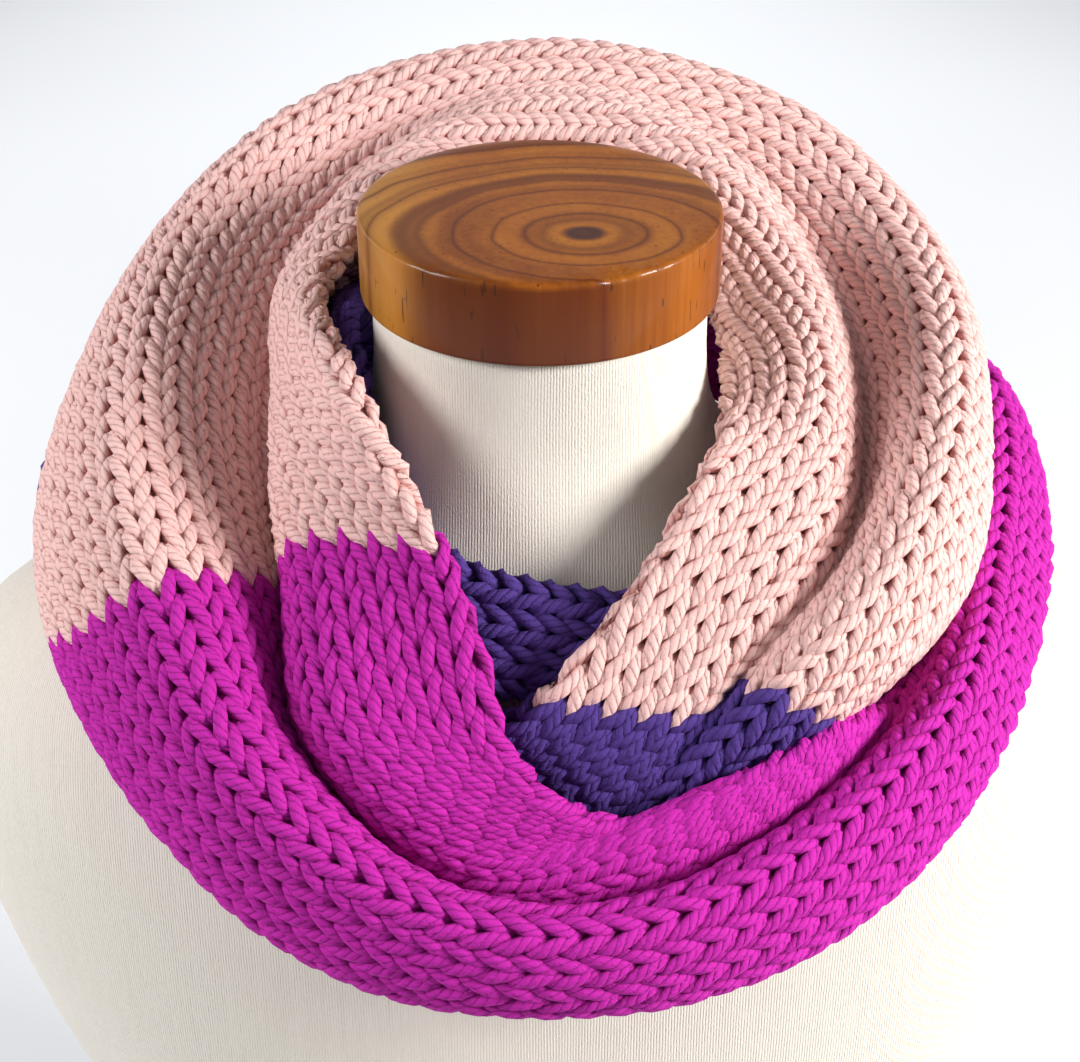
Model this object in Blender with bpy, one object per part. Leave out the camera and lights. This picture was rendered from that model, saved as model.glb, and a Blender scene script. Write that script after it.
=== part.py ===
"""Infinity scarf worn in two turns on a limbless dress form.

The scarf is one long knitted tube, lying flat, whose ends are joined. It goes round the
neck twice. Each stretch that shows is a band: the flat tube's two layers, one on the
other, with a rounded fold along both edges. A band is swept round the neck through the
sections listed below, so its folds come from the rows of one short table.

Lengths in the tables are millimetres, heights are measured from the top of the neck cap,
and azimuths are degrees turned from the front towards the wearer's left (+X).
"""
import math

import bpy
import numpy as np

MM = 0.001
FORM_HEIGHT = 600.0        # base to the top of the neck cap
BAND_THICKNESS = 9.0       # two layers of chunky knit, each about 4.5
SEAM_GAP = 0.3             # between the neck and its cap
BAND_GAP = 0.45            # between two bands that meet, along their foot
ACROSS_POINTS = 19         # points across a band, edge to edge
EDGE_POINTS = 3            # points round each folded edge
SOFTENING = 3              # passes that round a section's folds
RING_STEP = 6.5            # degrees between the rings of a band
PROBE_STEP = 0.5           # degrees to each side, to find which way a band faces
MIDDLE_RADIUS = 125.0      # where the seam gap is measured as an angle

CAP_RADIUS = 57.0
CAP_THICKNESS = 27.0
CAP_ROUNDING = 1.2
CAP_SIDES = 64
FORM_SIDES = 48
FORM_RINGS = 34            # evenly spaced along the form's side outline
OUTLINE_STEPS = 400        # steps to measure that outline in

# Where the colours change, as azimuths that keep growing along the tube.
PURPLE_FRONT_START = 10.0
PURPLE_TO_PINK = 52.0
PINK_TO_MAGENTA = 285.0
MAGENTA_TO_PURPLE = 562.0
PURPLE_NECK_END = 742.0

# Share of the way from the crease to the inner edge where the lip's lag stands.
LIP_SHARE = 0.6

SECTION_COLUMNS = ("azimuth", "bulge_lag", "crest_lag", "crease_lag", "inner_lag",
                   "foot_r", "foot_z", "bulge_r", "bulge_z", "crest_r", "crest_z",
                   "crease_r", "crease_z", "lip_r", "lip_z", "inner_r", "inner_z")

# foot is the outer lower edge, inner is the edge at the neck, and a lag is how far that
# point runs ahead of the foot. The magenta turn ends hidden at the nape, where the purple
# turn starts. That one lies flat beneath the others and comes out at the throat.
TUBE_SECTIONS = (
    # az   lags           foot       bulge      crest      crease     lip        inner
    (10, -3, -6, -8, -26, 114, -174, 115, -168, 115, -164, 113, -163, 110, -160, 106, -148),
    (32, -10, -16, -18, -44, 120, -150, 121, -145, 120, -141, 118, -141, 114, -144, 107, -131),
    (52, -15, -21, -24, -53, 124, -123, 130, -117, 128, -108, 118, -115, 114, -121, 107, -114),
    (70, -12, -20, -26, -37, 137, -101, 142, -91, 134, -79, 119, -90, 102, -80, 83, -68),
    (90, -5, -12, -15, -21, 138, -84, 143, -77, 131, -50, 107, -74, 90, -52, 65, -57),
    (115, -1, -3, -4, -10, 138, -71, 149, -54, 132, -26, 105, -49, 86, -32, 62, -45),
    (140, 0, -1, -2, -4, 138, -72, 149, -36, 130, -5, 102, -20, 85, -9, 62, -31),
    (165, 0, 0, 0, 0, 136, -76, 143, -34, 120, 8, 100, -2, 84, -2, 63, -25),
    (190, 0, 0, 0, 0, 136, -78, 144, -36, 120, 8, 100, -4, 84, -3, 65, -24),
    (215, 1, 2, 2, 8, 142, -84, 151, -44, 130, -5, 100, -26, 86, -14, 70, -24),
    (240, 2, 5, 5, 22, 156, -98, 158, -68, 132, -28, 95, -52, 86, -34, 72, -32),
    (262, 6, 10, 10, 42, 165, -119, 164, -98, 131, -52, 90, -76, 84, -48, 73, -35),
    (285, 10, 21, 20, 55, 163, -132, 161, -119, 138, -88, 101, -104, 100, -80, 89, -73),
    (310, 5, 14, 14, 46, 152, -158, 161, -151, 150, -114, 122, -134, 128, -120, 122, -122),
    (335, 2, 9, 11, 36, 136, -188, 162, -172, 158, -140, 139, -159, 134, -148, 132, -141),
    (360, 1, 5, 6, 26, 136, -190, 167, -172, 163, -147, 147, -159, 138, -144, 135, -131),
    (385, 1, 4, 5, 16, 139, -186, 167, -168, 158, -137, 147, -143, 140, -136, 136, -124),
    (410, 1, 2, 3, 4, 152, -166, 166, -149, 154, -122, 146, -128, 140, -129, 136, -131),
    (440, 0, 0, 0, 0, 168, -128, 165, -121, 151, -103, 140, -106, 130, -108, 121, -105),
    (470, 0, 0, 0, 0, 172, -118, 172, -96, 160, -81, 147, -85, 131, -91, 114, -96),
    (490, 0, 0, 0, 0, 154, -118, 160, -98, 150, -86, 134, -88, 112, -93, 91, -96),
    (515, 0, 0, 0, 0, 128, -118, 136, -102, 126, -90, 114, -87, 101, -86, 87, -87),
    (540, 0, 0, 0, 0, 116, -112, 124, -98, 116, -86, 105, -80, 93, -74, 82, -66),
    (562, 0, 0, 0, 0, 118, -112, 126, -96, 118, -84, 106, -76, 94, -70, 82, -62),
    (588, 0, 0, 0, 0, 148, -121, 140, -111, 124, -94, 104, -73, 88, -60, 73, -50),
    (608, 0, 0, 0, 0, 194, -132, 178, -131, 152, -121, 121, -101, 90, -73, 68, -45),
    (615, 0, 0, 0, 0, 188, -132, 172, -130, 146, -119, 115, -99, 85, -72, 65, -42),
    (622, 0, 0, 0, 0, 156, -126, 145, -122, 126, -112, 103, -97, 78, -74, 62, -40),
    (630, 0, 0, 0, 0, 126, -112, 118, -108, 106, -101, 91, -90, 75, -70, 62, -38),
    (637, 0, 0, 0, 0, 104, -102, 98, -97, 90, -90, 81, -80, 71, -63, 62, -39),
    (645, 0, 0, 0, 0, 86, -91, 83, -87, 79, -81, 74, -72, 68, -59, 62, -43),
    (655, 0, 0, 0, 0, 86, -93, 83, -89, 79, -83, 74, -75, 68, -64, 62, -51),
    (680, 0, 0, 0, 0, 95, -106, 92, -103, 87, -98, 82, -92, 77, -84, 71, -75),
    (702, 0, 0, 0, 0, 97, -113, 94, -110, 90, -106, 86, -100, 81, -94, 77, -88),
    (720, 0, 0, 0, 0, 95, -115, 93, -112, 90, -108, 87, -103, 83, -98, 78, -93),
    (742, 0, 0, 0, 0, 98, -116, 96, -113, 94, -110, 90, -106, 87, -102, 83, -98),
)

# The dress form from its base up: half width, and depth to the front and to the back.
FORM_COLUMNS = ("z", "half_width", "front", "back")
FORM_PROFILE = (
    (-600, 168, 114, 112), (-560, 162, 112, 108), (-480, 150, 105, 96),
    (-375, 172, 118, 106), (-290, 200, 123, 116), (-230, 213, 118, 118),
    (-190, 215, 112, 116), (-170, 210, 106, 112), (-156, 200, 101, 108),
    (-144, 182, 96, 103), (-132, 155, 90, 97), (-120, 127, 84, 89),
    (-108, 103, 78, 81), (-95, 82, 72, 71), (-82, 65, 65, 62), (-72, 58.5, 60, 57),
    (-62, 55.5, 56, 54), (-50, 54, 54, 54), (-27.3, 53.5, 53.5, 53.5),
)

PINK = (0.86, 0.52, 0.47)
MAGENTA = (0.53, 0.0, 0.36)
PURPLE = (0.10, 0.05, 0.28)
WOOD = (0.50, 0.24, 0.06)
JERSEY = (0.75, 0.70, 0.62)


def smooth_columns(rows, at):
    """Read every column of a table at the given values of its first column, smoothly."""
    table = np.array(rows, float)
    knots, values = table[:, 0], table[:, 1:]
    step = np.diff(knots)
    slope = np.diff(values, axis=0) / step[:, None]
    tangent = np.empty_like(values)
    tangent[0], tangent[-1] = slope[0], slope[-1]
    before, after = step[:-1, None], step[1:, None]
    tangent[1:-1] = (slope[:-1] * after + slope[1:] * before) / (before + after)
    at = np.atleast_1d(np.asarray(at, float))
    i = np.clip(np.searchsorted(knots, at, side="right") - 1, 0, len(knots) - 2)
    h = step[i][:, None]
    s = ((at - knots[i]) / step[i])[:, None]
    return ((2 * s**3 - 3 * s**2 + 1) * values[i] + (s**3 - 2 * s**2 + s) * h * tangent[i]
            + (3 * s**2 - 2 * s**3) * values[i + 1] + (s**3 - s**2) * h * tangent[i + 1])


def even_curve(points, count):
    """Resample a smooth curve through the points at evenly spaced places."""
    chord = np.linalg.norm(np.diff(points, axis=0), axis=1) ** 0.5
    knots = np.concatenate([[0.0], np.cumsum(chord)])
    fine = smooth_columns(np.column_stack([knots, points]), np.linspace(0, knots[-1], 160))
    length = np.concatenate([[0.0], np.cumsum(np.linalg.norm(np.diff(fine, axis=0), axis=1))])
    even = np.linspace(0.0, length[-1], count)
    return np.stack([np.interp(even, length, fine[:, axis]) for axis in range(3)], axis=1)


def section_line(azimuth, row):
    """The middle line of a band's section, from its foot to its inner edge."""
    bulge_lag, crest_lag, crease_lag, inner_lag = row[:4]
    radii, heights = row[4::2], row[5::2]
    lip_lag = crease_lag + LIP_SHARE * (inner_lag - crease_lag)
    lags = np.array([0.0, bulge_lag, crest_lag, crease_lag, lip_lag, inner_lag])
    turn = np.radians(azimuth + lags)
    points = np.stack([radii * np.sin(turn), -radii * np.cos(turn), heights], axis=1)
    line = even_curve(points, ACROSS_POINTS)
    for _ in range(SOFTENING):
        line[1:-1] += 0.25 * (line[:-2] - 2 * line[1:-1] + line[2:])
    return line


def section_lines(azimuths):
    """The middle lines of the sections at several azimuths."""
    rows = smooth_columns(TUBE_SECTIONS, azimuths)
    return np.array([section_line(a, row) for a, row in zip(azimuths, rows)])


def band_rings(start, end):
    """Closed rings round the flat tube, from azimuth start to end."""
    count = int(round((end - start) / RING_STEP)) + 1
    azimuths = np.linspace(start, end, count)
    lines = section_lines(azimuths)
    along = section_lines(azimuths + PROBE_STEP) - section_lines(azimuths - PROBE_STEP)
    normal = np.cross(along, np.gradient(lines, axis=1))
    normal /= np.linalg.norm(normal, axis=2, keepdims=True)
    half = BAND_THICKNESS / 2
    angles = np.linspace(0, math.pi, EDGE_POINTS + 2)[1:-1]
    rings = []
    for line, out in zip(lines, normal):
        ahead = (line[-1] - line[-2]) / np.linalg.norm(line[-1] - line[-2])
        behind = (line[0] - line[1]) / np.linalg.norm(line[0] - line[1])
        inner_edge = [line[-1] + half * (math.cos(a) * out[-1] + math.sin(a) * ahead)
                      for a in angles]
        foot_edge = [line[0] + half * (math.sin(a) * behind - math.cos(a) * out[0])
                     for a in angles]
        rings.append(np.vstack([line + half * out, inner_edge,
                                (line - half * out)[::-1], foot_edge]))
    return np.array(rings)


def loft_faces(ring_count, ring_size):
    """Quads between neighbouring rings."""
    faces = []
    for i in range(ring_count - 1):
        for j in range(ring_size):
            k = (j + 1) % ring_size
            faces.append((i * ring_size + j, i * ring_size + k,
                          (i + 1) * ring_size + k, (i + 1) * ring_size + j))
    return faces


def band_end_faces(base, flip):
    """Close a band's end with triangles, laid the same way on both sides of a seam."""
    n, e = ACROSS_POINTS, EDGE_POINTS
    inner = [n + e + (n - 1 - i) for i in range(n)]
    faces = []
    for i in range(n - 1):
        faces += [(i, i + 1, inner[i + 1]), (i, inner[i + 1], inner[i])]
    for fan in (range(n - 1, n + e + 1), (*range(2 * n + e - 1, 2 * n + 2 * e), 0)):
        faces += [(fan[0], fan[k], fan[k + 1]) for k in range(1, len(fan) - 1)]
    faces = [tuple(base + v for v in face) for face in faces]
    return [face[::-1] for face in faces] if flip else faces


def material(name, colour, roughness):
    """A plain material for one named object."""
    result = bpy.data.materials.new(name)
    result.use_nodes = True
    shader = result.node_tree.nodes["Principled BSDF"]
    shader.inputs["Base Color"].default_value = (*colour, 1.0)
    shader.inputs["Roughness"].default_value = roughness
    return result


def add_solid(name, points, faces, colour, roughness):
    """Make one named closed body from points in millimetres below the cap's top."""
    placed = (np.asarray(points) + np.array([0.0, 0.0, FORM_HEIGHT])) * MM
    mesh = bpy.data.meshes.new(name)
    mesh.from_pydata([tuple(p) for p in placed.tolist()], [], faces)
    mesh.materials.append(material(name, colour, roughness))
    mesh.validate()
    body = bpy.data.objects.new(name, mesh)
    bpy.context.scene.collection.objects.link(body)
    return body


def add_band(name, start, end, colour):
    """One stretch of the flat tube between two azimuths."""
    rings = band_rings(start, end)
    count, size = rings.shape[:2]
    faces = [face[::-1] for face in loft_faces(count, size)]
    faces += band_end_faces(0, False)
    faces += band_end_faces((count - 1) * size, True)
    return add_solid(name, rings.reshape(-1, 3), faces, colour, 0.9)


def add_turned_cap():
    """The round wooden block on top of the neck, with a small rounding at each rim."""
    profile = ((CAP_RADIUS - CAP_ROUNDING, -CAP_THICKNESS),
               (CAP_RADIUS, CAP_ROUNDING - CAP_THICKNESS),
               (CAP_RADIUS, -CAP_ROUNDING),
               (CAP_RADIUS - 0.3 * CAP_ROUNDING, -0.3 * CAP_ROUNDING),
               (CAP_RADIUS - CAP_ROUNDING, 0.0))
    turn = np.linspace(0, 2 * math.pi, CAP_SIDES, endpoint=False)
    rings = np.array([np.stack([r * np.sin(turn), -r * np.cos(turn), np.full_like(turn, z)],
                               axis=1) for r, z in profile])
    count, size = rings.shape[:2]
    faces = loft_faces(count, size)
    faces.append(tuple(reversed(range(size))))
    faces.append(tuple((count - 1) * size + j for j in range(size)))
    return add_solid("neck_cap", rings.reshape(-1, 3), faces, WOOD, 0.25)


def add_dress_form():
    """The solid torso and neck, smooth and whole, with a flat base."""
    fine = np.linspace(-FORM_HEIGHT, -CAP_THICKNESS - SEAM_GAP, OUTLINE_STEPS)
    outward = np.diff(smooth_columns(FORM_PROFILE, fine)[:, 0])
    length = np.concatenate([[0.0], np.cumsum(np.hypot(np.diff(fine), outward))])
    heights = np.interp(np.linspace(0.0, length[-1], FORM_RINGS), length, fine)
    turn = np.linspace(0, 2 * math.pi, FORM_SIDES, endpoint=False)
    side, ahead = np.sin(turn), np.cos(turn)
    rings = []
    for z, (width, front, back) in zip(heights, smooth_columns(FORM_PROFILE, heights)):
        depth = np.where(ahead > 0, front, back)
        radius = 1.0 / np.sqrt((side / width) ** 2 + (ahead / depth) ** 2)
        rings.append(np.stack([radius * side, -radius * ahead, np.full_like(turn, z)], axis=1))
    rings = np.array(rings)
    count, size = rings.shape[:2]
    faces = loft_faces(count, size)
    faces.append(tuple(reversed(range(size))))
    faces.append(tuple((count - 1) * size + j for j in range(size)))
    return add_solid("dress_form", rings.reshape(-1, 3), faces, JERSEY, 0.9)


def main():
    for old in list(bpy.data.objects):
        bpy.data.objects.remove(old, do_unlink=True)
    gap = math.degrees(BAND_GAP / MIDDLE_RADIUS)
    add_dress_form()
    add_turned_cap()
    add_band("purple_front_stretch", PURPLE_FRONT_START, PURPLE_TO_PINK - gap, PURPLE)
    add_band("pink_stretch", PURPLE_TO_PINK, PINK_TO_MAGENTA - gap, PINK)
    add_band("magenta_stretch", PINK_TO_MAGENTA, MAGENTA_TO_PURPLE - gap, MAGENTA)
    add_band("purple_neck_stretch", MAGENTA_TO_PURPLE, PURPLE_NECK_END, PURPLE)


main()
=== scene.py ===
"""Chunky knitted loop scarf worn in two turns on a limbless dress form.

Every knitted row is a yarn of its own: it runs once round the flat tube in loops that
hook into the row before it. The rows follow the solids' section table, with sharper
creases. Lengths in the tables are millimetres, heights are measured from the top of the
neck cap, and azimuths are degrees turned from the front towards the wearer's left (+X).
"""
import logging
import math
from dataclasses import dataclass, field
from enum import Enum

import bmesh
import bpy
import numpy as np
from mathutils import Euler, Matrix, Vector


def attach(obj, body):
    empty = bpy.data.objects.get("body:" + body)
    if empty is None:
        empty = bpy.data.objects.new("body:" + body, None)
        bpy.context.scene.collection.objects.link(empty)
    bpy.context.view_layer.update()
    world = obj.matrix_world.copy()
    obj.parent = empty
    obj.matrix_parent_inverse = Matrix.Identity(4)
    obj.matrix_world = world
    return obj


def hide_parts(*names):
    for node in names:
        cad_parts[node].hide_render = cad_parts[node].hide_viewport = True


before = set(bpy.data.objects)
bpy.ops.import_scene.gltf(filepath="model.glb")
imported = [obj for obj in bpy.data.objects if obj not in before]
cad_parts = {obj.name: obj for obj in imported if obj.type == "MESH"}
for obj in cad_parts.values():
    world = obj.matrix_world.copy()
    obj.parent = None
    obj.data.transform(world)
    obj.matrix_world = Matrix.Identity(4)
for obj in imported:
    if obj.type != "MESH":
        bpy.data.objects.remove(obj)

Array = np.ndarray
Socket = bpy.types.NodeSocket
Colour = tuple[float, float, float]     # linear red, green and blue
LOG = logging.getLogger("infinity_scarf")
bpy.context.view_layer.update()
MM = 0.001
FORM_HEIGHT = 600.0

# From outside in: foot is the outer lower edge, bulge and crest are the outer lobe's side
# and top, crease is the dip behind it, lip is the inner lobe's top, and inner is the edge at
# the neck. Each has a radius and a height. The lags, of bulge, crest, crease and inner, are
# how many degrees that point runs ahead of the foot.
TUBE_SECTIONS = (
    # az   lags           foot       bulge      crest      crease     lip        inner
    (10, -3, -6, -8, -26, 114, -174, 115, -168, 115, -164, 113, -163, 112, -162, 106, -148),
    (32, -10, -16, -18, -44, 120, -150, 121, -145, 120, -141, 118, -141, 117, -143, 107, -131),
    (52, -15, -21, -24, -53, 129, -128, 132, -119, 128, -108, 118, -115, 117, -118, 107, -114),
    (70, -12, -20, -26, -37, 141, -108, 143, -95, 134, -79, 119, -90, 110, -84, 83, -68),
    (90, -5, -12, -15, -21, 138, -84, 143, -77, 131, -50, 107, -74, 90, -52, 65, -57),
    (115, -1, -3, -4, -10, 138, -71, 149, -54, 132, -26, 105, -49, 86, -32, 62, -45),
    (140, 0, -1, -2, -4, 138, -72, 149, -36, 130, -5, 102, -20, 85, -9, 62, -31),
    (165, 0, 0, 0, 0, 136, -76, 143, -34, 120, 8, 100, -2, 84, -2, 63, -25),
    (190, 0, 0, 0, 0, 136, -78, 144, -36, 120, 8, 100, -4, 84, -3, 65, -24),
    (215, 1, 2, 2, 8, 142, -84, 151, -44, 130, -5, 100, -26, 86, -14, 70, -24),
    (240, 2, 5, 5, 22, 156, -98, 158, -68, 132, -28, 95, -52, 89, -38, 72, -32),
    (262, 6, 10, 10, 42, 165, -119, 164, -98, 131, -52, 88, -77, 82, -56, 73, -35),
    (285, 10, 21, 20, 55, 163, -132, 161, -119, 138, -88, 100, -104, 98, -84, 89, -73),
    (310, 5, 14, 14, 46, 152, -158, 161, -151, 150, -114, 122, -134, 129, -118, 122, -122),
    (335, 2, 9, 11, 36, 136, -188, 162, -172, 158, -140, 139, -159, 137, -150, 132, -141),
    (360, 1, 5, 6, 26, 136, -190, 167, -172, 163, -147, 147, -159, 141, -146, 135, -131),
    (385, 1, 4, 5, 16, 139, -186, 167, -168, 158, -137, 147, -143, 142, -138, 136, -124),
    (410, 1, 2, 3, 4, 152, -166, 166, -149, 154, -122, 146, -128, 140, -129, 136, -131),
    (440, 0, 0, 0, 0, 168, -128, 165, -121, 151, -103, 140, -106, 130, -108, 121, -105),
    (470, 0, 0, 0, 0, 172, -118, 172, -96, 160, -81, 147, -85, 131, -91, 114, -96),
    (490, 0, 0, 0, 0, 154, -118, 160, -98, 150, -86, 134, -88, 112, -93, 91, -99),
    (515, 0, 0, 0, 0, 128, -118, 136, -102, 126, -90, 114, -87, 101, -86, 87, -90),
    (540, 0, 0, 0, 0, 116, -112, 124, -98, 116, -86, 105, -80, 93, -74, 82, -66),
    (562, 0, 0, 0, 0, 118, -112, 126, -96, 118, -84, 106, -76, 94, -70, 82, -62),
    (588, 0, 0, 0, 0, 148, -121, 140, -111, 124, -94, 104, -73, 88, -60, 73, -50),
    (608, 0, 0, 0, 0, 194, -132, 178, -131, 152, -121, 121, -101, 90, -73, 68, -45),
    (615, 0, 0, 0, 0, 188, -132, 172, -130, 146, -119, 115, -99, 85, -72, 65, -42),
    (622, 0, 0, 0, 0, 156, -126, 145, -122, 126, -112, 103, -97, 78, -74, 62, -40),
    (630, 0, 0, 0, 0, 126, -112, 118, -108, 106, -101, 91, -90, 75, -70, 62, -38),
    (637, 0, 0, 0, 0, 104, -102, 98, -97, 90, -90, 81, -80, 71, -63, 62, -39),
    (645, 0, 0, 0, 0, 86, -91, 83, -87, 79, -81, 74, -72, 68, -59, 62, -43),
    (655, 0, 0, 0, 0, 86, -93, 83, -89, 79, -83, 74, -75, 68, -64, 62, -51),
    (680, 0, 0, 0, 0, 95, -106, 92, -103, 87, -98, 82, -92, 77, -84, 71, -75),
    (702, 0, 0, 0, 0, 97, -113, 94, -110, 90, -106, 86, -100, 81, -94, 77, -88),
    (720, 0, 0, 0, 0, 95, -115, 93, -112, 90, -108, 87, -103, 83, -98, 78, -93),
    (742, 0, 0, 0, 0, 98, -116, 96, -113, 94, -110, 90, -106, 87, -102, 83, -98),
)

# Name, start and end azimuth, yarn, flat size in metres, what it rests on, yarn pieces.
STRETCHES = (
    ("purple_front_stretch", 10.0, 52.0, "purple", (0.175, 0.075), ("magenta_stretch_wall",), 1),
    ("pink_stretch", 52.0, 285.0, "pink", (0.290, 0.640),
     ("form_cover", "magenta_stretch_wall"), 2),
    ("magenta_stretch", 285.0, 562.0, "magenta", (0.200, 0.660), ("form_cover",), 2),
    ("purple_neck_stretch", 562.0, 742.0, "purple", (0.160, 0.370), ("form_cover",), 1),
)
INNER_EDGE_FROM = 562.0         # past here the wales are counted from the inner edge

# Name, light and deep tones, sheen, and the lining's tone. The deep tone is the painted shade on
# each yarn, and the lining's tone is darker, as painted shade between the loops.
YARNS = (
    ("pink", (0.92, 0.60, 0.56), (0.50, 0.18, 0.16), 0.35, (0.55, 0.24, 0.21)),
    ("magenta", (0.57, 0.018, 0.40), (0.19, 0.0, 0.12), 0.12, (0.20, 0.0, 0.13)),
    ("purple", (0.085, 0.040, 0.25), (0.02, 0.008, 0.07), 0.12, (0.025, 0.011, 0.08)),
)

# Azimuth, and how much deeper the crease is there than the solids'.
CREASE_PINCH = (
    (40, 0), (62, 7), (85, 8), (110, 0), (205, 0), (240, 12), (262, 13), (285, 8),
    (310, 11), (335, 12), (375, 11), (400, 5), (420, 0),
)

# Height, half width, and depth in front and behind.
FORM_PROFILE = (
    (-600, 168, 114, 112), (-560, 162, 112, 108), (-480, 150, 105, 96),
    (-375, 172, 118, 106), (-290, 200, 123, 116), (-230, 213, 118, 118),
    (-190, 215, 112, 116), (-170, 210, 106, 112), (-156, 200, 101, 108),
    (-144, 182, 96, 103), (-132, 155, 90, 97), (-120, 127, 84, 89),
    (-108, 103, 78, 81), (-95, 82, 72, 71), (-82, 65, 65, 62), (-72, 58.5, 60, 57),
    (-62, 55.5, 56, 54), (-50, 54, 54, 54), (-27.3, 53.5, 53.5, 53.5),
)

# Azimuth, breadth in degrees, and depth.
RIM_CHIPS = (
    (22, 3.2, 0.9), (27, 1.6, 0.7), (12, 2.0, 0.35),
    (-6, 1.4, 0.3), (-34, 2.2, 0.35), (40, 2.0, 0.3),
)

# Name, x, y and size in metres, and watts. Each faces down, out of the camera's sight.
FLOOR_LAMPS = (
    ("floor_left", -1.3, 0.9, 1.0, 8.0),
    ("floor_right", 1.3, 0.9, 1.0, 8.0),
    ("floor_back", 0.0, 2.1, 1.5, 12.0),
)

NUDGE = 1e-6                    # less than any length or step that matters
WELD = 0.002                    # points closer than this many millimetres become one
EVENING = 0.25                  # share of a bend that one pass of smoothing takes out


class Detail(Enum):
    """How finely the yarn is drawn: pieces along one stitch, and sides round it."""

    SEEN = (16, 6)
    TUCKED = (9, 4)

    def __init__(self, pieces: int, sides: int) -> None:
        """Name the two counts."""
        self.pieces, self.sides = pieces, sides


def run_along(points: Array) -> Array:
    """How far along a line each of its points is."""
    return np.concatenate([[0.0], np.cumsum(np.linalg.norm(np.diff(points, axis=0), axis=1))])


def respaced(points: Array, count: int) -> Array:
    """Points spaced evenly along a line from its first point to its last.

    Args:
        points: the line's own points.
        count: how many points to return.

    Returns:
        The new points.
    """
    length = run_along(points)
    even = np.linspace(0.0, length[-1], count)
    return np.stack([np.interp(even, length, points[:, a]) for a in range(3)], axis=1)


def unit(vectors: Array) -> Array:
    """Vectors brought to length 1."""
    return vectors / np.linalg.norm(vectors, axis=-1, keepdims=True)


def smooth_columns(rows: tuple, at: Array) -> Array:
    """Read every column of a table smoothly.

    Args:
        rows: the table, sorted by its first column.
        at: values of the first column to read it at.

    Returns:
        One row for each value, without the first column.
    """
    table = np.array(rows, float)
    knots, values = table[:, 0], table[:, 1:]
    step = np.diff(knots)
    slope = np.diff(values, axis=0) / step[:, None]
    tangent = np.empty_like(values)
    tangent[0], tangent[-1] = slope[0], slope[-1]
    before, after = step[:-1, None], step[1:, None]
    tangent[1:-1] = (slope[:-1] * after + slope[1:] * before) / (before + after)
    at = np.atleast_1d(np.asarray(at, float))
    i = np.clip(np.searchsorted(knots, at, side="right") - 1, 0, len(knots) - 2)
    h = step[i][:, None]
    s = ((at - knots[i]) / step[i])[:, None]
    return ((2 * s**3 - 3 * s**2 + 1) * values[i] + (s**3 - 2 * s**2 + s) * h * tangent[i]
            + (3 * s**2 - 2 * s**3) * values[i + 1] + (s**3 - s**2) * h * tangent[i + 1])


@dataclass(frozen=True)
class BandForm:
    """The middle surface of the flat tube: the solids' own, with sharper creases."""

    across_points: int = 61
    softening: int = 4
    pinch_width: float = 9.0    # half the breadth of a crease's bottom, in millimetres
    lip_share: float = 0.2      # of the way from the crease to the inner edge
    fine_points: int = 160

    def even_curve(self, points: Array, count: int) -> Array:
        """Resample a smooth curve through the points at even spacing.

        Args:
            points: the points, one a row.
            count: how many points to return.

        Returns:
            The evenly spaced points.
        """
        chord = np.linalg.norm(np.diff(points, axis=0), axis=1) ** 0.5
        knots = np.concatenate([[0.0], np.cumsum(chord)])
        fine = smooth_columns(np.column_stack([knots, points]),
                              np.linspace(0, knots[-1], self.fine_points))
        return respaced(fine, count)

    def section_points(self, azimuth: float, row: Array) -> Array:
        """Place one section's foot, bulge, crest, crease, lip and inner edge.

        Args:
            azimuth: where the section's foot is, in degrees.
            row: that section's values from the table.

        Returns:
            The six points, in millimetres.
        """
        bulge_lag, crest_lag, crease_lag, inner_lag = row[:4]
        radii, heights = row[4::2], row[5::2]
        lip_lag = crease_lag + self.lip_share * (inner_lag - crease_lag)
        lags = np.array([0.0, bulge_lag, crest_lag, crease_lag, lip_lag, inner_lag])
        turn = np.radians(azimuth + lags)
        return np.stack([radii * np.sin(turn), -radii * np.cos(turn), heights], axis=1)

    def section_line(self, azimuth: float, row: Array) -> Array:
        """The middle line of one section, from its foot to its inner edge.

        Args:
            azimuth: where the section's foot is, in degrees.
            row: that section's values from the table.

        Returns:
            Evenly spaced points in millimetres.
        """
        points = self.section_points(azimuth, row)
        line = self.even_curve(points, self.across_points)
        for _ in range(self.softening):
            line[1:-1] += EVENING * (line[:-2] - 2 * line[1:-1] + line[2:])
        crest, crease, lip = points[2:5]
        down = 2 * crease - crest - lip
        apart = np.linalg.norm(line - crease, axis=1)
        apart -= apart.min()
        depth = float(np.interp(azimuth, *zip(*CREASE_PINCH)))
        line += (depth * np.exp(-(apart / self.pinch_width) ** 2)[:, None]
                 * down / max(np.linalg.norm(down), 1.0))
        return line

    def lines(self, azimuths: Array) -> Array:
        """The middle lines at several azimuths.

        Args:
            azimuths: where to cut, in degrees.

        Returns:
            An array of sections by points by three.
        """
        rows = smooth_columns(TUBE_SECTIONS, azimuths)
        return np.array([self.section_line(a, r) for a, r in zip(azimuths, rows)])


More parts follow.
